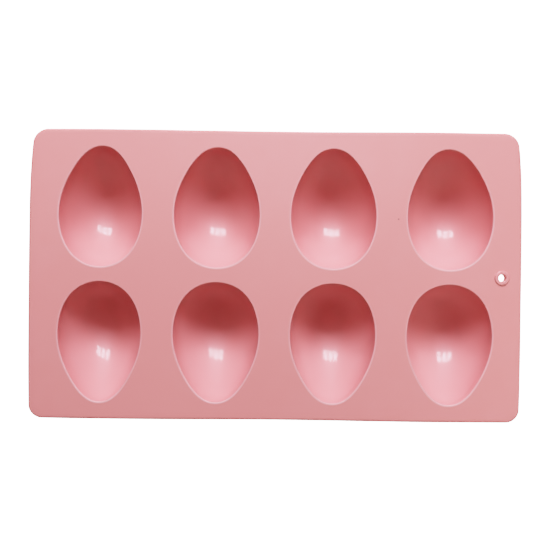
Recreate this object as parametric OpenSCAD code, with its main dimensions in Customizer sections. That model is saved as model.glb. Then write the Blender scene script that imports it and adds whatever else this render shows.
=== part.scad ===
// Egg-cavity silicone mould for soap, wax and resin: a flexible sheet with eight half-egg cups
// hanging below it, a bead that stiffens its edge, and an eyelet to hang it up by.
//
// Millimetres. The origin lies under the middle of the mould, on the surface that the cups stand on.
// +X runs along the length towards the eyelet, +Y across the width, and +Z up, towards the mouths.

/* [Sheet] */
// Length of the sheet
sheet_l = 296; // [294:1:330]
// Width of the sheet
sheet_w = 174; // [170:1:200]
// Thickness of the sheet
sheet_t = 2.5; // [2:0.1:4]
// Corner radius of the sheet, seen from above
corner_r = 8; // [6:0.5:16]
// Rounding along the top edge of the sheet
edge_r = 1.2; // [0.6:0.1:1.8]

/* [Egg cavities] */
// Length of each cavity at its mouth
egg_l = 72; // [60:1:73]
// Breadth of each cavity at its widest
egg_w = 51; // [40:1:54]
// How far the widest place lies from mid-length, towards the blunt end
egg_shift = 5.4; // [0:0.1:7]
// Number of cavities in each of the two rows
columns = 4; // [2:1:4]
// Distance between neighbouring cavities along the length
column_pitch = 70; // [62:0.5:72]
// Distance between the two rows
row_pitch = 81; // [79:0.5:83]
// Thickness of the cups' walls
wall_t = 2; // [1.2:0.1:2.4]

/* [Edge bead] */
// Width of the bead under the edge of the sheet
bead_w = 3.2; // [2:0.1:4]
// Height of the bead below the sheet
bead_h = 4.5; // [3:0.1:8]

/* [Hanging eyelet] */
// Radius of the hole
hole_r = 2.25; // [1.5:0.05:3]
// Outer radius of the eyelet
eyelet_r = 4.3; // [4:0.1:5]
// Distance from the end of the sheet to the centre of the hole
eyelet_inset = 12; // [10:0.5:13]
// How far the eyelet stands above the sheet
eyelet_rise = 0.8; // [0.4:0.1:2]
// How far the eyelet reaches below the sheet
eyelet_drop = 1; // [0.5:0.1:3]

/* [Hidden] */
// Facets of a full circle, and steps along half of an egg's outline
$fn = 96;
egg_steps = 40;

// Heights of the sheet's underside, which is also the plane of the eggs' long axes, and of its top
sheet_z = wall_t + egg_w / 2;
top_z = sheet_z + sheet_t;
eyelet_x = sheet_l / 2 - eyelet_inset;

// How far a cut runs past the faces that it goes through
cut = 1;

silicone = [0.88, 0.63, 0.64];

// The back row lies at +Y, and the blunt ends of both rows face the middle of the mould
rows = [["back", 1], ["front", -1]];

function cup_name(row, column) = str("egg_cup_", row[0], "_", column);

function column_x(column) = (column - (columns + 1) / 2) * column_pitch;

// Half-breadth of an egg of length l and breadth b, at u from its mid-length. The egg is an ellipse
// whose widest place is moved by egg_shift towards +u, its blunt end.
function egg_half(u, l, b) =
    b / 2 * sqrt(max(0, l * l - 4 * u * u) / (l * l - 8 * egg_shift * u + 4 * egg_shift * egg_shift));

// One side of the egg's outline, from the blunt end to the pointed end, grown outwards by grow
function egg_side(grow) = [
    for (i = [0:egg_steps])
        let (l = egg_l + 2 * grow, u = l / 2 * cos(180 * i / egg_steps))
            [egg_half(u, l, egg_w + 2 * grow), u]
];

function reversed(points) = [for (i = [len(points) - 1:-1:0]) points[i]];

// The flat outline of a cavity's mouth, with its blunt end towards +Y
module egg_outline() {
    right = egg_side(0);
    left = [for (i = [egg_steps - 1:-1:1]) [-right[i][0], right[i][1]]];
    polygon(concat(right, left));
}

// Places its children at one cavity, turned so that the blunt end faces the middle of the mould
module at_cavity(row, column) {
    translate([column_x(column), row[1] * row_pitch / 2, 0])
        rotate([0, 0, row[1] > 0 ? 180 : 0])
            children();
}

// Carries a profile round the rounded rectangle of the sheet's outline. The profile's x is measured
// outwards from the outline, so that its material lies at x <= 0, and its y is the height.
module along_outline() {
    straight_l = sheet_l - 2 * corner_r;
    straight_w = sheet_w - 2 * corner_r;
    for (side = [0, 180])
        rotate([0, 0, side]) {
            translate([sheet_l / 2, 0, 0])
                rotate([90, 0, 0])
                    linear_extrude(height = straight_w, center = true)
                        children();
            rotate([0, 0, 90])
                translate([sheet_w / 2, 0, 0])
                    rotate([90, 0, 0])
                        linear_extrude(height = straight_l, center = true)
                            children();
            translate([straight_l / 2, straight_w / 2, 0])
                rotate_extrude(angle = 90)
                    translate([corner_r, 0])
                        children();
            translate([straight_l / 2, -straight_w / 2, 0])
                rotate([0, 0, -90])
                    rotate_extrude(angle = 90)
                        translate([corner_r, 0])
                            children();
        }
}

// The edge of the sheet: a band as deep as the corners, with its top edge rounded
module sheet_edge_profile() {
    translate([-corner_r, sheet_z])
        square([corner_r - edge_r, sheet_t]);
    translate([-edge_r, sheet_z])
        square([edge_r, sheet_t - edge_r]);
    intersection() {
        translate([-edge_r, top_z - edge_r])
            circle(r = edge_r);
        translate([-edge_r, top_z - edge_r])
            square(edge_r);
    }
}

module sheet() {
    color(silicone)
        difference() {
            union() {
                along_outline()
                    sheet_edge_profile();
                translate([corner_r - sheet_l / 2, corner_r - sheet_w / 2, sheet_z])
                    cube([sheet_l - 2 * corner_r, sheet_w - 2 * corner_r, sheet_t]);
            }
            for (row = rows)
                for (column = [1:columns])
                    at_cavity(row, column)
                        translate([0, 0, sheet_z - cut])
                            linear_extrude(height = sheet_t + 2 * cut)
                                egg_outline();
            translate([eyelet_x, 0, sheet_z - cut])
                cylinder(r = eyelet_r, h = sheet_t + 2 * cut);
        }
}

// A strip under the edge of the sheet, with a round lower edge
module edge_bead() {
    color(silicone)
        along_outline()
            union() {
                translate([-bead_w, sheet_z - bead_h + bead_w / 2])
                    square([bead_w, bead_h - bead_w / 2]);
                intersection() {
                    translate([-bead_w / 2, sheet_z - bead_h + bead_w / 2])
                        circle(d = bead_w);
                    translate([-bead_w, sheet_z - bead_h])
                        square([bead_w, bead_w / 2]);
                }
            }
}

// A half-egg shell of even thickness, turned about the egg's long axis. Its rim meets the underside of
// the sheet round one of the holes.
module egg_cup(row, column) {
    color(silicone)
        at_cavity(row, column)
            translate([0, 0, sheet_z])
                rotate([-90, 0, 0])
                    rotate_extrude(angle = 180)
                        polygon(concat(egg_side(wall_t), reversed(egg_side(0))));
}

// A thickened ring through the sheet, which keeps the hanging hole from tearing
module hanging_eyelet() {
    color(silicone)
        translate([eyelet_x, 0, sheet_z - eyelet_drop])
            difference() {
                cylinder(r = eyelet_r, h = eyelet_drop + sheet_t + eyelet_rise);
                translate([0, 0, -cut])
                    cylinder(r = hole_r, h = eyelet_drop + sheet_t + eyelet_rise + 2 * cut);
            }
}

sheet();
edge_bead();
for (row = rows)
    for (column = [1:columns])
        egg_cup(row, column);
hanging_eyelet();
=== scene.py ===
import math

import bmesh
import bpy
import numpy as np
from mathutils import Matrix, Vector


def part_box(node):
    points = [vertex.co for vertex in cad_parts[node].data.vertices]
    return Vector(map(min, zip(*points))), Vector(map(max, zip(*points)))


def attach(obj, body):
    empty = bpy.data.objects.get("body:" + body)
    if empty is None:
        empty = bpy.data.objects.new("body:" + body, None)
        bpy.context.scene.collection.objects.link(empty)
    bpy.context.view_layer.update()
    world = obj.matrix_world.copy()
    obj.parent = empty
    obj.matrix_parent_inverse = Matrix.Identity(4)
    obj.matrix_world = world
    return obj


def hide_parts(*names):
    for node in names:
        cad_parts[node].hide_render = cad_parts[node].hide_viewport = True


# Flexible silicone mould with eight half-egg cavities. Metres, +Z up, and the cups stand on z = 0.
mm = 0.001

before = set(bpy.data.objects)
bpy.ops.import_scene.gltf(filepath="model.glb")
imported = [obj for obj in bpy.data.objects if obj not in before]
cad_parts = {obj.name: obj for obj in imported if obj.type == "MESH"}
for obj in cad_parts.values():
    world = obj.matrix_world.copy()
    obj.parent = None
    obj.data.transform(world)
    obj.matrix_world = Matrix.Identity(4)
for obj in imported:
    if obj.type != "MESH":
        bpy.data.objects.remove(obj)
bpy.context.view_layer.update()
print("frame loaded:", len(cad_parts), "nodes")


# The soft sheet doesn't lie quite straight: its ends bow and its long sides are waisted.
lie = {
    "bow": 0.0125,  # how far the ends of the long sides pull in, as a share of the length
    "bowLean": 0.0070,  # how much more they do so at the back than at the front
    "waist": 0.0050,  # how far the long sides pull in at the middle, as a share of the width
    "waistSpan": 186 * mm,  # length of the waist
    "wave": 0.25 * mm,  # height of the slow swells in the sheet
    "slowSwell": (27, 31),  # radians per metre along x and y
    "slowPhase": (0.6, 0.4),
    "crossSwell": (61, 43),
    "crossShare": 0.4,  # how much of the swell is the second, slanting one
    "squeeze": 0.055,  # how much narrower the first column's cups are
    "squeezeX": -105 * mm,  # the middle of that column
    "squeezeSpan": 30 * mm,  # how far from it the squeeze fades
}

sheetLow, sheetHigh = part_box("sheet")
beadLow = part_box("edge_bead")[0]
eyeletLow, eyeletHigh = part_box("hanging_eyelet")
halfLength, halfWidth = sheetHigh.x, sheetHigh.y
topZ, underZ = sheetHigh.z, sheetLow.z


def softLie(points):
    # x shrinks with the fourth power of y, a little more at +Y, and again close to the first column's
    # cups, by a bell of the distance from them. y shrinks with the square of a cosine of x. z sinks and
    # swells by two slow waves, in proportion to its height, so that the cups stay on the ground.
    x, y, z = points[..., 0], points[..., 1], points[..., 2]
    across = y / halfWidth
    bowed = x * (1 - (lie["bow"] + lie["bowLean"] * across) * across**4)
    fromCups = x - lie["squeezeX"]
    bowed = bowed - lie["squeeze"] * fromCups * np.exp(-((fromCups / lie["squeezeSpan"]) ** 2))
    waisted = y * (1 - lie["waist"] * np.cos(np.pi * x / lie["waistSpan"]) ** 2)
    (slowX, slowY), (phaseX, phaseY) = lie["slowSwell"], lie["slowPhase"]
    crossX, crossY = lie["crossSwell"]
    slow = np.sin(x * slowX + phaseX) * np.cos(y * slowY + phaseY)
    cross = np.sin(x * crossX - y * crossY)
    swell = slow * (1 - lie["crossShare"]) + cross * lie["crossShare"]
    raised = z + lie["wave"] * (swell - 1) * z / topZ
    return np.stack([bowed, waisted, raised], axis=-1)


def carry(rings, closedAlong=False, keep=None):
    # quads between neighbouring rings of one grid of points, where rings[i, j] is point j of ring i;
    # keep picks the points of a ring after which there is a quad
    count, around = rings.shape[:2]
    i = np.arange(count if closedAlong else count - 1)[:, None]
    j = np.arange(around)[None, :]
    if keep is not None:
        j = j[:, keep]
    nextI, nextJ = (i + 1) % count, (j + 1) % around
    corners = [i * around + j, i * around + nextJ, nextI * around + nextJ, nextI * around + j]
    return np.stack(np.broadcast_arrays(*corners), axis=-1).reshape(-1, 4)


mending = {"weld": 0.002 * mm, "sliver": 0.001 * mm, "crease": math.radians(50)}


def makePiece(name, patches, replaced):
    # Patches are welded into one mesh. Each is a grid of points with its quads and, for every point, how
    # glossy its finish is and how much of the painted highlight along the mouths' rims it has.
    offset, allPoints, allQuads = 0, [], []
    finish = {"polish": [], "rim": []}
    for rings, quads, *values in patches:
        allPoints.append(rings.reshape(-1, 3))
        allQuads.append(quads + offset)
        for (key, parts), value in zip(finish.items(), values + [0.0]):
            parts.append(np.broadcast_to(value, rings.shape[:2]).reshape(-1))
        offset += rings.shape[0] * rings.shape[1]
    points = softLie(np.concatenate(allPoints))
    mesh = bpy.data.meshes.new(name)
    mesh.from_pydata(points.tolist(), [], np.concatenate(allQuads).tolist())
    for key, parts in finish.items():
        amounts = np.concatenate(parts).astype(np.float32)
        mesh.attributes.new(key, "FLOAT", "POINT").data.foreach_set("value", amounts)
    work = bmesh.new()
    work.from_mesh(mesh)
    bmesh.ops.remove_doubles(work, verts=work.verts, dist=mending["weld"])
    bmesh.ops.dissolve_degenerate(work, edges=work.edges, dist=mending["sliver"])
    bmesh.ops.recalc_face_normals(work, faces=work.faces)
    openEdges = sum(1 for edge in work.edges if not edge.is_manifold)
    work.to_mesh(mesh)
    work.free()
    mesh.shade_smooth()
    mesh.set_sharp_from_angle(angle=mending["crease"])
    piece = bpy.data.objects.new(name, mesh)
    bpy.context.scene.collection.objects.link(piece)
    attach(piece, "root")
    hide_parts(replaced)
    print(name, len(mesh.polygons), "faces,", openEdges, "open edges")
    return piece


# The eggs
egg = {
    "shift": {"back": 5.1 * mm, "front": 5.8 * mm},  # of the widest place, towards the blunt end
    "slim": 0.027,  # how much the outline draws in between its widest place and its two ends
    "slimLean": 0.022,  # how much more it does so towards the pointed end
    "wall": 2.0 * mm,
    "lip": 0.6 * mm,  # radius of the rounded edge of each mouth
    "rim": 0.7 * mm,  # width of the band on the flat, round the lip, that carries the painted highlight
    "cove": 2.0 * mm,  # radius of the fillet between a cup and the underside
    "lipSteps": 6,
    "rimSteps": 3,
    "wallSteps": 3,
    "coveSteps": 6,
    "down": 44,  # rings from the rim to the lowest point
    "fade": 0.4,  # how much weaker the rim's painted highlight is on its +Y side, which faces away from the light, than halfway
}


def eggHalf(u, length, breadth, shift):
    # Half-breadth at u from mid-length: an ellipse's, divided by a term that moves its widest place, and
    # less a share that is greatest where the square of 2u over the length is a half.
    top = np.maximum(length**2 - 4 * u**2, 0)
    far = np.minimum((2 * u / length) ** 2, 1)
    drawn = 1 - (egg["slim"] - egg["slimLean"] * 2 * u / length) * 4 * far * (1 - far)
    return breadth / 2 * drawn * np.sqrt(top / (length**2 - 8 * shift * u + 4 * shift**2))


class Cup:
    # one cavity: where it stands, which way its blunt end faces, and how large it is
    def __init__(self, row, column):
        self.node = f"egg_cup_{row}_{column}"
        low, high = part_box(self.node)
        self.name = f"cup_{row}_{column}"
        self.row, self.column = row, column
        self.x, self.y = (low.x + high.x) / 2, (low.y + high.y) / 2
        self.outerLength, self.outerBreadth = high.y - low.y, high.x - low.x
        self.length = self.outerLength - 2 * egg["wall"]
        self.breadth = self.outerBreadth - 2 * egg["wall"]
        self.blunt = -1 if row == "back" else 1
        self.shift = egg["shift"][row]

    def outline(self, angles, length, breadth):
        # (across, along) of the egg's points at these angles, counted from the blunt end
        u = length / 2 * np.cos(angles)
        side = np.where(np.sin(angles) >= 0, -1, 1)
        return side * eggHalf(u, length, breadth, self.shift), u

    def place(self, across, along, z):
        # from the egg's own frame into the mould's
        across, along, z = np.broadcast_arrays(across, along, z)
        return np.stack([self.x + self.blunt * across, self.y + self.blunt * along, z], axis=-1)

    def outward(self, angles, length, breadth):
        # unit normals of the outline in the plane, from the slope of a fine copy of it
        step = 1e-4
        a1, b1 = self.outline(angles - step, length, breadth)
        a2, b2 = self.outline(angles + step, length, breadth)
        tangent = np.stack([a2 - a1, b2 - b1], axis=-1)
        tangent /= np.linalg.norm(tangent, axis=-1, keepdims=True)
        return tangent[:, 1], -tangent[:, 0]

    def towards(self, targets):
        # the outline's angles that face these points, so that the lines between them don't cross
        across = self.blunt * (targets[:, 0] - self.x) / (self.breadth / 2)
        along = self.blunt * (targets[:, 1] - self.y) / (self.length / 2)
        return np.arctan2(-across, along)


cups = [Cup(row, column) for row in ("back", "front") for column in (1, 2, 3, 4)]
columnXs = sorted({round(cup.x, 6) for cup in cups})
print("cups at x =", columnXs)


# The sheet: one tile for each cavity, joined edge to edge
sheet = {
    "cornerRadius": 8.0 * mm,
    "edgeInset": 1.6 * mm,  # how far in the rounding of the top edge starts
    "edgeDrop": 1.2 * mm,  # how far down it ends
    "sideRings": 2,  # rings from there to the underside
    "sideSteps": 36,
    "cornerSteps": 12,
    "edgeSteps": 6,
    "topRings": 18,
    "underRings": 8,
    "crowding": 0.8,  # the power that brings the rings closer together near a mouth
}
eyeletX = (eyeletLow.x + eyeletHigh.x) / 2
eyeletRadius = (eyeletHigh.x - eyeletLow.x) / 2
eyeletTile = {"left": eyeletX - 12 * mm, "half": 8 * mm, "upSteps": 8, "alongSteps": 20, "rings": 8}


def line(start, end, steps):
    # evenly spaced points from start, up to but without end
    share = np.arange(steps)[:, None] / steps
    return np.array(start) * (1 - share) + np.array(end) * share


def arc(centre, radius, start, end, steps):
    # points on a circle between two angles in degrees, without the last
    turn = np.radians(start + (end - start) * np.arange(steps) / steps)
    return np.array(centre) + radius * np.stack([np.cos(turn), np.sin(turn)], axis=-1)


def atHeight(points, z):
    return np.concatenate([points, np.full(points.shape[:-1] + (1,), z)], axis=-1)


class Edge:
    # a tile's edge, gathered stretch by stretch: its points at the top, its points below, and
    # whether each stretch is free or meets another tile
    def __init__(self):
        self.top, self.below, self.free = [], [], []

    def add(self, below, isFree=False, top=None):
        self.below.append(below)
        self.top.append(below if top is None else top)
        self.free.append(np.full(len(below), isFree))

    def finished(self, flip):
        # a front tile is the mirror image of the one behind it
        side = (1, -1) if flip else (1, 1)
        return np.concatenate(self.top) * side, np.concatenate(self.below) * side, np.concatenate(self.free)


def tileEdge(cup):
    # From the middle line at the tile's right: up the right side, along the outer side, down the left
    # side and back along the middle line, stepping round the eyelet's tile in the last column. At a
    # free stretch the top is drawn in by the rounding of the sheet's edge.
    inset, corner = sheet["edgeInset"], sheet["cornerRadius"]
    steps = sheet["sideSteps"]
    isFirst, isLast = cup.column == 1, cup.column == len(columnXs)
    right = halfLength if isLast else (columnXs[cup.column - 1] + columnXs[cup.column]) / 2
    left = -halfLength if isFirst else (columnXs[cup.column - 2] + columnXs[cup.column - 1]) / 2
    back, low = halfWidth, eyeletTile["half"] if isLast else 0
    edge = Edge()

    def addCorner(x, start):
        centre = (x - math.copysign(corner, x), back - corner)
        edge.add(arc(centre, corner, start, start + 90, sheet["cornerSteps"]), True,
                 arc(centre, corner - inset, start, start + 90, sheet["cornerSteps"]))

    if isLast:
        edge.add(line((right, low), (right, back - corner), steps), True,
                 line((right - inset, low), (right - inset, back - corner), steps))
        addCorner(right, 0)
    else:
        edge.add(line((right, 0), (right, back), steps), False,
                 line((right, 0), (right, back - inset), steps))
    start = right - corner if isLast else right
    end = left + corner if isFirst else left
    edge.add(line((start, back), (end, back), steps), True,
             line((start, back - inset), (end, back - inset), steps))
    if isFirst:
        addCorner(left, 90)
        edge.add(line((left, back - corner), (left, 0), steps), True,
                 line((left + inset, back - corner), (left + inset, 0), steps))
        edge.add(line((left, 0), (right, 0), steps), False, line((left + inset, 0), (right, 0), steps))
    else:
        edge.add(line((left, back), (left, 0), steps), False, line((left, back - inset), (left, 0), steps))
        edge.add(line((left, 0), (eyeletTile["left"] if isLast else right, 0), steps))
    if isLast:
        edge.add(line((eyeletTile["left"], 0), (eyeletTile["left"], low), eyeletTile["upSteps"]))
        edge.add(line((eyeletTile["left"], low), (right, low), eyeletTile["alongSteps"]), False,
                 line((eyeletTile["left"], low), (right - inset, low), eyeletTile["alongSteps"]))
    return edge.finished(cup.row == "front")


def eyeletTileEdge():
    # the small tile round the hanging hole, counter-clockwise from its lower left corner
    left, low, inset = eyeletTile["left"], eyeletTile["half"], sheet["edgeInset"]
    up, along = eyeletTile["upSteps"], eyeletTile["alongSteps"]
    right = halfLength
    edge = Edge()
    edge.add(line((left, -low), (right, -low), along), False,
             line((left, -low), (right - inset, -low), along))
    edge.add(line((right, -low), (right, low), 2 * up), True,
             line((right - inset, -low), (right - inset, low), 2 * up))
    edge.add(line((right, low), (left, low), along), False,
             line((right - inset, low), (left, low), along))
    edge.add(line((left, low), (left, -low), 2 * up))
    return edge.finished(False)


def rollOver(top, below, free):
    # the sheet's free edge: a quarter ellipse from the top, then straight down to the underside
    turn = np.linspace(0, np.pi / 2, sheet["edgeSteps"] + 1)
    drop = sheet["edgeDrop"]
    roll = [atHeight(top + (below - top) * np.sin(a), topZ - drop * (1 - np.cos(a))) for a in turn]
    roll += [atHeight(below, z) for z in np.linspace(topZ - drop, underZ, sheet["sideRings"] + 1)[1:]]
    roll = np.array(roll)
    return roll, carry(roll, keep=free), 0.0


def between(outside, inside, count):
    # count rings from one to just before the other, closer together towards the inside
    shares = np.linspace(0, 1, count + 1)[:-1] ** sheet["crowding"]
    return [outside * (1 - share) + inside * share for share in shares]


def cupTile(cup):
    # One grid of rings: from the tile's edge over the top to the lip, round the lip, down the hole's
    # wall, and back under the sheet. The finish turns glossy through the lip.
    top, below, free = tileEdge(cup)
    cup.angles = cup.towards(top)
    across, along = cup.outline(cup.angles, cup.length, cup.breadth)
    outX, outY = cup.outward(cup.angles, cup.length, cup.breadth)

    def rim(offset, z):
        return cup.place(across + offset * outX, along + offset * outY, z)

    lip = egg["lip"]
    lipTurn = np.linspace(0, np.pi / 2, egg["lipSteps"] + 1)
    onTop = between(atHeight(top, topZ), rim(lip + egg["rim"], topZ), sheet["topRings"])
    onRim = between(rim(lip + egg["rim"], topZ), rim(lip, topZ), egg["rimSteps"])
    onLip = [rim(lip * (1 - np.sin(a)), topZ - lip * (1 - np.cos(a))) for a in lipTurn]
    onWall = [rim(0, z) for z in np.linspace(topZ - lip, underZ, egg["wallSteps"] + 1)[1:]]
    under = between(atHeight(below, underZ), onWall[-1], sheet["underRings"])[::-1]
    rings = np.array(onTop + onRim + onLip + onWall + under)
    flat, rest = len(onTop) + len(onRim), len(rings)
    polish, rimHighlight = np.zeros(rest), np.zeros(rest)
    polish[flat : flat + len(onLip)] = np.sin(lipTurn) ** 2
    polish[flat + len(onLip) : rest - len(under)] = 1
    # a painted highlight on the rounded lip: it rises across the band on the flat and fades as the lip turns
    # down
    rimHighlight[len(onTop) : flat] = np.linspace(0, 1, len(onRim), endpoint=False)
    rimHighlight[flat : flat + len(onLip)] = np.cos(lipTurn)
    # the painted highlight is brightest on the rim's -Y side, where the lip faces the light from +Y
    highlightBySide = 1 - egg["fade"] - egg["fade"] * cup.blunt * np.cos(cup.angles)
    return [(rings, carry(rings), polish[:, None], rimHighlight[:, None] * highlightBySide), rollOver(top, below, free)]


def eyeletTilePatches():
    # the same round the hanging hole, with a plain wall that the ring covers
    top, below, free = eyeletTileEdge()
    facing = np.arctan2(top[:, 1], top[:, 0] - eyeletX)
    circle = np.stack([eyeletX + eyeletRadius * np.cos(facing), eyeletRadius * np.sin(facing)], axis=-1)
    onTop = between(atHeight(top, topZ), atHeight(circle, topZ), eyeletTile["rings"])
    onWall = [atHeight(circle, z) for z in (topZ, underZ)]
    under = between(atHeight(below, underZ), onWall[-1], eyeletTile["rings"])[::-1]
    rings = np.array(onTop + onWall + under)
    return [(rings, carry(rings), 0.0), rollOver(top, below, free)]


def buildSheet():
    patches = [patch for cup in cups for patch in cupTile(cup)] + eyeletTilePatches()
    return makePiece("moulded_sheet", patches, "sheet")


def buildCup(cup):
    # A closed shell: from the lowest inner point up the inner wall to the rim, across under the sheet,
    # through a cove and down the outer wall to the lowest outer point. Each wall's point lies at the
    # sine of a ring angle of the way from the egg's widest place to the rim, at the depth of the egg.
    def wallRing(turn, length, breadth):
        rimAcross, rimAlong = cup.outline(cup.angles, length, breadth)
        across = rimAcross * np.sin(turn)
        along = cup.shift + (rimAlong - cup.shift) * np.sin(turn)
        depth = np.sqrt(np.maximum(eggHalf(along, length, breadth, cup.shift) ** 2 - across**2, 0))
        if turn >= np.pi / 2:
            depth = depth * 0
        return cup.place(across, along, underZ - depth)

    turns = np.linspace(0, np.pi / 2, egg["down"] + 1)
    innerRings = [wallRing(a, cup.length, cup.breadth) for a in turns]
    across, along = cup.outline(cup.angles, cup.outerLength, cup.outerBreadth)
    outX, outY = cup.outward(cup.angles, cup.outerLength, cup.outerBreadth)
    cove = egg["cove"]
    coveRings = []
    for a in np.linspace(0, np.pi / 2, egg["coveSteps"] + 1)[:-1]:
        out = cove * (1 - np.sin(a))
        coveRings.append(cup.place(across + out * outX, along + out * outY, underZ - cove * (1 - np.cos(a))))
    # the turn at which the outer wall, underZ deep at its deepest, leaves the cove
    coveEnd = np.arccos(cove / underZ)
    turns = np.linspace(coveEnd, 0, egg["down"])
    outerRings = [wallRing(a, cup.outerLength, cup.outerBreadth) for a in turns]
    rings = np.array(innerRings + coveRings + outerRings)
    polish = np.zeros(len(rings))
    polish[: len(innerRings)] = 1
    return makePiece(cup.name, [(rings, carry(rings), polish[:, None])], cup.node)


bead = {
    "width": 3.2 * mm,
    "cove": 1.0 * mm,  # radius of the fillet between the bead and the underside
    "cornerSteps": 14,
    "sideSteps": 48,
    "wallSteps": 3,
    "roundSteps": 10,
    "coveSteps": 5,
}


def sheetOutline(inset, steps, cornerSteps):
    # the rounded rectangle, counter-clockwise from the right end, moved inwards by inset
    corner = sheet["cornerRadius"] - inset
    x, y = halfLength - sheet["cornerRadius"], halfWidth - sheet["cornerRadius"]
    parts = []
    for quarter, (cornerX, cornerY) in enumerate([(x, y), (-x, y), (-x, -y), (x, -y)]):
        turn = np.radians(90 * quarter + np.linspace(0, 90, cornerSteps + 1))
        bend = np.stack([cornerX + corner * np.cos(turn), cornerY + corner * np.sin(turn)], axis=-1)
        following = [(-x, y), (-x, -y), (x, -y), (x, y)][quarter]
        out = np.array([np.cos(turn[-1]), np.sin(turn[-1])]) * corner
        straight = line(bend[-1], np.array(following) + out, steps)[1:]
        parts += [bend, straight]
    return np.concatenate(parts)


def buildBead():
    # a closed profile carried round the sheet's outline: down the outside, round the foot, up the
    # inside, through a cove and back along the underside
    width, cove = bead["width"], bead["cove"]
    foot = beadLow.z + width / 2
    turn = np.linspace(0, np.pi, bead["roundSteps"] + 1)
    profile = [(0, z) for z in np.linspace(underZ, foot, bead["wallSteps"] + 1)[:-1]]
    profile += [(width / 2 - width / 2 * np.cos(a), foot - width / 2 * np.sin(a)) for a in turn]
    profile += [(width + cove * (1 - np.cos(a)), underZ - cove * (1 - np.sin(a)))
                for a in np.linspace(0, np.pi / 2, bead["coveSteps"] + 1)]
    rings = np.array([
        atHeight(sheetOutline(inset, bead["sideSteps"], bead["cornerSteps"]), z) for inset, z in profile
    ])
    return makePiece("edge_roll", [(rings, carry(rings, closedAlong=True), 0.0)], "edge_bead")


eyelet = {
    "hole": 2.25 * mm,  # radius
    "round": 0.55 * mm,  # radius of the ring's outer shoulders
    "mouth": 0.35 * mm,  # radius of the rounding of the hole's upper mouth
    "lowerMouth": 1.15 * mm,
    "cove": 0.35 * mm,  # how far the ring's foot spreads on the sheet
    "coveHeight": 0.7,  # its height, as a share of that
    "tuck": 0.02 * mm,  # how far the wall inside the sheet stands back
    "tuckEnd": 0.1 * mm,  # how far inside the sheet it starts
    "polish": 0.35,
    "around": 72,
    "steps": 6,
}


def buildEyelet():
    # a closed profile of (radius, height) turned about the hole's axis: up the bore, over the rounded
    # mouth and the rounded shoulder, out through a cove on to the sheet, and the same below
    quarter = np.linspace(0, np.pi / 2, eyelet["steps"] + 1)

    def profileHalf(top, surface):
        # from the bore outwards to the cove's end on the sheet, for the end of the ring at this height
        hole, shoulder, cove = eyelet["hole"], eyelet["round"], eyelet["cove"]
        sign, mouth = (1, eyelet["mouth"]) if top > surface else (-1, eyelet["lowerMouth"])
        rise = sign * cove * eyelet["coveHeight"]
        half = [(hole + mouth * (1 - np.cos(a)), top - sign * mouth * (1 - np.sin(a))) for a in quarter]
        half += [(eyeletRadius - shoulder * (1 - np.sin(a)), top - sign * shoulder * (1 - np.cos(a)))
                 for a in quarter]
        half += [(eyeletRadius + cove * (1 - np.cos(a)), surface + rise * (1 - np.sin(a))) for a in quarter]
        return half

    upper = profileHalf(eyeletHigh.z, topZ)
    lower = profileHalf(eyeletLow.z, underZ)
    wall = eyeletRadius - eyelet["tuck"]
    inside = [(wall, topZ - eyelet["tuckEnd"]), (wall, underZ + eyelet["tuckEnd"])]
    profile = np.array(upper + inside + lower[::-1])
    turn = np.linspace(0, 2 * np.pi, eyelet["around"], endpoint=False)
    radius, height = profile[:, :1], profile[:, 1:]
    heights = np.broadcast_to(height, (len(profile), len(turn)))
    rings = np.stack([eyeletX + radius * np.cos(turn), radius * np.sin(turn), heights], axis=-1)
    patch = (rings, carry(rings, closedAlong=True), eyelet["polish"])
    return makePiece("hang_ring", [patch], "hanging_eyelet")


pieces = [buildSheet()] + [buildCup(cup) for cup in cups] + [buildBead(), buildEyelet()]
print("pieces built:", len(pieces))


class Wire:
    # wraps one output of a node tree: arithmetic on it adds Math nodes, and node() adds any other node
    def __init__(self, tree, out=None):
        self.tree, self.out = tree, out

    def node(self, kind, settings, inputs, output=0):
        made = self.tree.nodes.new(kind)
        for name, value in settings.items():
            setattr(made, name, value)
        for name, value in inputs.items():
            if isinstance(value, Wire):
                self.tree.links.new(value.out, made.inputs[name])
            else:
                made.inputs[name].default_value = value
        return Wire(self.tree, made.outputs[output] if made.outputs else None)

    def math(self, operation, first, second=0.0, clamp=False):
        settings = {"operation": operation, "use_clamp": clamp}
        return self.node("ShaderNodeMath", settings, {0: first, 1: second})

    def __add__(self, other):
        return self.math("ADD", self, other)

    __radd__ = __add__

    def __sub__(self, other):
        return self.math("SUBTRACT", self, other)

    def __rsub__(self, other):
        return self.math("SUBTRACT", other, self)

    def __mul__(self, other):
        return self.math("MULTIPLY", self, other)

    __rmul__ = __mul__

    def clamped(self):
        return self.math("ADD", self, 0.0, clamp=True)

    def mixed(self, low, high):
        # the colour between low and high, by this value
        return self.node("ShaderNodeMix", {"data_type": "RGBA"}, {0: self, 6: low, 7: high}, output=2)


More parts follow.
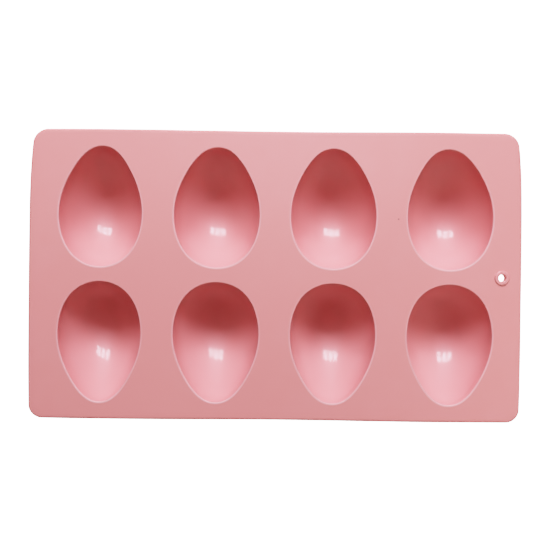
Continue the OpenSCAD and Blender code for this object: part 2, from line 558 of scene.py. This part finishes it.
# Noises are given in features per metre.
silicone = {
    "sheetColour": (0.85, 0.306, 0.276, 1),
    "cavityColour": (0.86, 0.325, 0.312, 1),
    "paleColour": (0.90, 0.42, 0.43, 1),  # where the mottling is palest
    "deepColour": (0.80, 0.25, 0.25, 1),
    "cloud": {"perMetre": 14, "detail": 3, "amount": 0.55},
    "mottle": {"perMetre": 90, "detail": 2, "amount": 0.25},
    "cloudShare": 0.5,  # how far both turn the colour to the pale or the deep one
    "rim": 0.80,  # how far the mouths' rims turn to the colour of their painted highlight
    # colour of the painted highlight along the lips of the mouths
    "rimHighlightColour": (0.95, 0.50, 0.49, 1),
    "speck": (73.8 * mm, 34.6 * mm, 30 * mm),  # a fleck in the sheet
    "speckRadius": 0.45 * mm,
    "speckEdge": 1.6,  # in radii: where the fleck has faded out
    "speckAmount": 0.7,
    "speckColour": (0.30, 0.10, 0.10, 1),
    "sheetRoughness": 0.50,
    "cavityRoughness": 0.40,
    "satin": {"perMetre": 420, "detail": 3, "amount": 0.10},  # changes the sheet's roughness
    "smear": {"perMetre": 35, "detail": 2, "amount": 0.06},  # changes the roughness everywhere
    "specular": 0.25,
    "ior": 1.45,
    "coat": 0.30,  # weight of the glossy skin of the cavities
    "coatRoughness": 0.10,
    "grain": {"perMetre": 2600, "detail": 2},
    "grainDepth": 0.020 * mm,  # of the fine satin grain of the sheet
    "ripple": {"perMetre": 55, "detail": 1},
    "rippleHeight": 0.030 * mm,
}


def siliconeMaterial():
    material = bpy.data.materials.new("pinkSilicone")
    material.use_nodes = True
    tree = material.node_tree
    tree.nodes.clear()
    start = Wire(tree)
    place = start.node("ShaderNodeTexCoord", {}, {}, output=3)

    def noise(perMetre, detail):
        return start.node("ShaderNodeTexNoise", {}, {
            "Vector": place, "Scale": perMetre, "Detail": detail})

    def around(perMetre, detail, amount):
        # noise that goes as far below zero as above it
        return (noise(perMetre, detail) - 0.5) * amount

    # the colour: sheet or cavity, mottled, with a painted highlight along the mouths' rims, and the fleck
    polish = start.node("ShaderNodeAttribute", {"attribute_name": "polish"}, {}, output=2)
    satin = 1 - polish
    body = polish.mixed(silicone["sheetColour"], silicone["cavityColour"])
    cloud = around(**silicone["cloud"]) + around(**silicone["mottle"])
    paler = (cloud * silicone["cloudShare"]).clamped()
    deeper = (cloud * -silicone["cloudShare"]).clamped()
    body = paler.mixed(body, silicone["paleColour"])
    body = deeper.mixed(body, silicone["deepColour"])
    # the rim attribute says where the painted highlight along the lips lies
    rim = start.node("ShaderNodeAttribute", {"attribute_name": "rim"}, {}, output=2)
    body = (rim * silicone["rim"]).mixed(body, silicone["rimHighlightColour"])
    fromSpeck = start.node("ShaderNodeVectorMath", {"operation": "DISTANCE"},
                           {0: place, 1: silicone["speck"]}, output=1)
    speck = (silicone["speckEdge"] - fromSpeck * (1 / silicone["speckRadius"])).clamped()
    body = (speck * silicone["speckAmount"]).mixed(body, silicone["speckColour"])

    # the finish: satin on the sheet and glossier in the cavities, with grain on the one and ripples on both
    grain = noise(**silicone["grain"])
    ripple = noise(**silicone["ripple"])
    roughness = (silicone["sheetRoughness"] * satin + silicone["cavityRoughness"] * polish
                 + around(**silicone["satin"]) * satin + around(**silicone["smear"]))
    fine = start.node("ShaderNodeBump", {}, {
        "Strength": 1.0, "Distance": silicone["grainDepth"], "Height": grain * satin})
    bumped = start.node("ShaderNodeBump", {}, {
        "Strength": 1.0, "Distance": silicone["rippleHeight"], "Height": ripple, "Normal": fine})
    shader = start.node("ShaderNodeBsdfPrincipled", {}, {
        "Base Color": body, "Roughness": roughness.clamped(), "IOR": silicone["ior"],
        "Specular IOR Level": silicone["specular"], "Coat Weight": polish * silicone["coat"],
        "Coat Roughness": silicone["coatRoughness"], "Normal": bumped})
    start.node("ShaderNodeOutputMaterial", {}, {"Surface": shader})
    return material


skin = siliconeMaterial()
for piece in pieces:
    piece.data.materials.append(skin)
print("material made:", skin.name)


# The floor, the camera and the light
studio = {
    "floorSize": 6.0,
    "floorGap": 0.02 * mm,  # how far the floor lies below the cups
    "floorDiffuse": (0.22, 0.22, 0.22, 1),
    "floorRoughness": 0.9,
    "floorGlow": 4.0,  # the white of the floor and the backdrop, seen by the camera alone
    "floorBounce": 0.55,  # the floor's light on the mould
    "cameraHeight": 340 * mm,  # above the top of the sheet
    "frameWidth": 329.6 * mm,  # what the frame takes in at the top of the sheet
    "cameraX": 0.45 * mm,
    "cameraY": 0.12 * mm,
    "turn": 0.63,  # degrees by which the mould looks turned clockwise
    "clipStart": 10 * mm,
}


def makeFloor():
    mesh = bpy.data.meshes.new("floor")
    half = studio["floorSize"] / 2
    corners = [(-half, -half), (half, -half), (half, half), (-half, half)]
    mesh.from_pydata([(x, y, -studio["floorGap"]) for x, y in corners], [], [(0, 1, 2, 3)])
    floor = bpy.data.objects.new("floor", mesh)
    bpy.context.scene.collection.objects.link(floor)
    material = bpy.data.materials.new("paleFloor")
    material.use_nodes = True
    material.node_tree.nodes.clear()
    start = Wire(material.node_tree)
    seen = start.node("ShaderNodeLightPath", {}, {}, output=0)
    shader = start.node("ShaderNodeBsdfPrincipled", {}, {
        "Base Color": studio["floorDiffuse"], "Roughness": studio["floorRoughness"],
        "Specular IOR Level": 0.0, "Emission Color": (1, 1, 1, 1),
        "Emission Strength": studio["floorBounce"] + seen * (studio["floorGlow"] - studio["floorBounce"])})
    start.node("ShaderNodeOutputMaterial", {}, {"Surface": shader})
    mesh.materials.append(material)


def makeCamera():
    data = bpy.data.cameras.new("camera")
    data.lens = data.sensor_width * studio["cameraHeight"] / studio["frameWidth"]
    data.clip_start = studio["clipStart"]
    camera = bpy.data.objects.new("camera", data)
    camera.location = (studio["cameraX"], studio["cameraY"], topZ + studio["cameraHeight"])
    camera.rotation_euler = (0, 0, math.radians(studio["turn"]))
    bpy.context.scene.collection.objects.link(camera)
    bpy.context.scene.camera = camera


def areaLight(name, tilt, azimuth, distance, width, height, power, colour=(1, 1, 1)):
    # a flat lamp that faces the middle of the mould, tilt degrees from straight overhead, at azimuth
    # degrees clockwise from +Y
    data = bpy.data.lights.new(name, "AREA")
    data.shape = "RECTANGLE"
    data.size, data.size_y = width, height
    data.energy = power
    data.color = colour
    lamp = bpy.data.objects.new(name, data)
    lean, turn = math.radians(tilt), math.radians(azimuth)
    away = Vector((math.sin(lean) * math.sin(turn), math.sin(lean) * math.cos(turn), math.cos(lean)))
    lamp.location = away * distance
    lamp.rotation_euler = away.to_track_quat("Z", "Y").to_euler()
    lamp.visible_camera = False
    bpy.context.scene.collection.objects.link(lamp)
    return lamp


# Two windows beyond the back give most of the light. Strips overhead and past the right end brighten the
# sheet and soften the back row's shadows, and those at the front lighten the front edge and the cups' back
# walls. None of them shows as a highlight.
windowColour = (1.0, 1.02, 1.2)
lights = {
    "windowLeft": {"tilt": 53.8, "azimuth": -11, "distance": 1.3, "width": 0.35, "height": 0.34,
                   "power": 11.2, "colour": windowColour},
    "windowRight": {"tilt": 53.8, "azimuth": 16, "distance": 1.3, "width": 0.35, "height": 0.34,
                    "power": 11.7, "colour": windowColour},
    "overBack": {"tilt": 30, "azimuth": 0, "distance": 0.25, "width": 0.9, "height": 0.08, "power": 0.22},
    "overHead": {"tilt": 25, "azimuth": 0, "distance": 0.50, "width": 0.9, "height": 0.08, "power": 0.25},
    "overRight": {"tilt": 62, "azimuth": 112, "distance": 0.23, "width": 0.2, "height": 0.03, "power": 0.04},
    "fillFront": {"tilt": 66, "azimuth": 180, "distance": 1.6, "width": 0.8, "height": 0.3, "power": 2.4},
    "edgeFront": {"tilt": 88, "azimuth": 180, "distance": 1.0, "width": 1.0, "height": 0.03, "power": 3.5},
    "lowFront": {"tilt": 50, "azimuth": 190, "distance": 0.17, "width": 0.3, "height": 0.03, "power": 0.018},
}
# a small window of three panes, which only shows as a highlight
panes = {
    "tilt": 27,
    "azimuth": 4,
    "distance": 1.0,
    "width": 0.74,
    "height": 0.20,
    "gap": 0.05,
    "power": 4.9,  # of each pane
    "colour": (0.88, 0.95, 1.10),
}


def makeLights():
    for name, lamp in lights.items():
        areaLight(name, **lamp).visible_glossy = False
    # the panes stand side by side, and face the way that the middle one does
    paneWidth = (panes["width"] - 2 * panes["gap"]) / 3
    for across in (-1, 0, 1):
        pane = areaLight(f"pane{across + 2}", panes["tilt"], panes["azimuth"], panes["distance"], paneWidth,
                         panes["height"], panes["power"], panes["colour"])
        pane.visible_diffuse = False
        pane.location = pane.matrix_basis @ Vector((across * (paneWidth + panes["gap"]), 0, 0))


def makeBackdrop():
    world = bpy.data.worlds.new("studio")
    world.use_nodes = True
    world.node_tree.nodes.clear()
    start = Wire(world.node_tree)
    seen = start.node("ShaderNodeLightPath", {}, {}, output=0)
    backdrop = start.node("ShaderNodeBackground", {}, {
        "Color": (1, 1, 1, 1), "Strength": seen * studio["floorGlow"]})
    start.node("ShaderNodeOutputWorld", {}, {"Surface": backdrop})
    bpy.context.scene.world = world


# The view's tone. The darks are deepened by a toe, which takes the share exp(-light / toe) away. Past
# the shoulder the lights close in on the top by an exponential. Green and blue are lifted by a bell.
tone = {
    "white": 2.2,  # the brightest light that the curve tells apart
    "toe": 0.07,
    "shoulder": 0.35,
    "top": 0.95,
    "steps": 24,
    "crowding": 1.6,  # the power that brings the steps closer together in the darks
    "greenLift": 0.02,
    "blueLift": 0.045,
    "liftAt": 0.55,
    "liftSpan": 0.07,
}


def shown(light):
    room = tone["top"] - tone["shoulder"]
    past = max(0, light - tone["shoulder"])
    eased = min(light, tone["shoulder"]) + room * (1 - math.exp(-past / room))
    return eased * (1 - math.exp(-light / tone["toe"]))


def lifted(light, lift):
    return light + lift * math.exp(-((light - tone["liftAt"]) / tone["liftSpan"]) ** 2)


def setTone():
    view = bpy.context.scene.view_settings
    view.view_transform = "Standard"
    view.use_curve_mapping = True
    mapping = view.curve_mapping
    mapping.white_level = [tone["white"]] * 3
    green, blue, combined = mapping.curves[1], mapping.curves[2], mapping.curves[3]
    for step in range(1, tone["steps"]):
        even = step / tone["steps"]
        crowded = even ** tone["crowding"]
        combined.points.new(crowded, shown(crowded * tone["white"]))
        green.points.new(even, lifted(even, tone["greenLift"]))
        blue.points.new(even, lifted(even, tone["blueLift"]))
    combined.points[len(combined.points) - 1].location = (1, shown(tone["white"]))
    mapping.update()


makeFloor()
makeCamera()
makeLights()
makeBackdrop()
setTone()
print("studio ready")
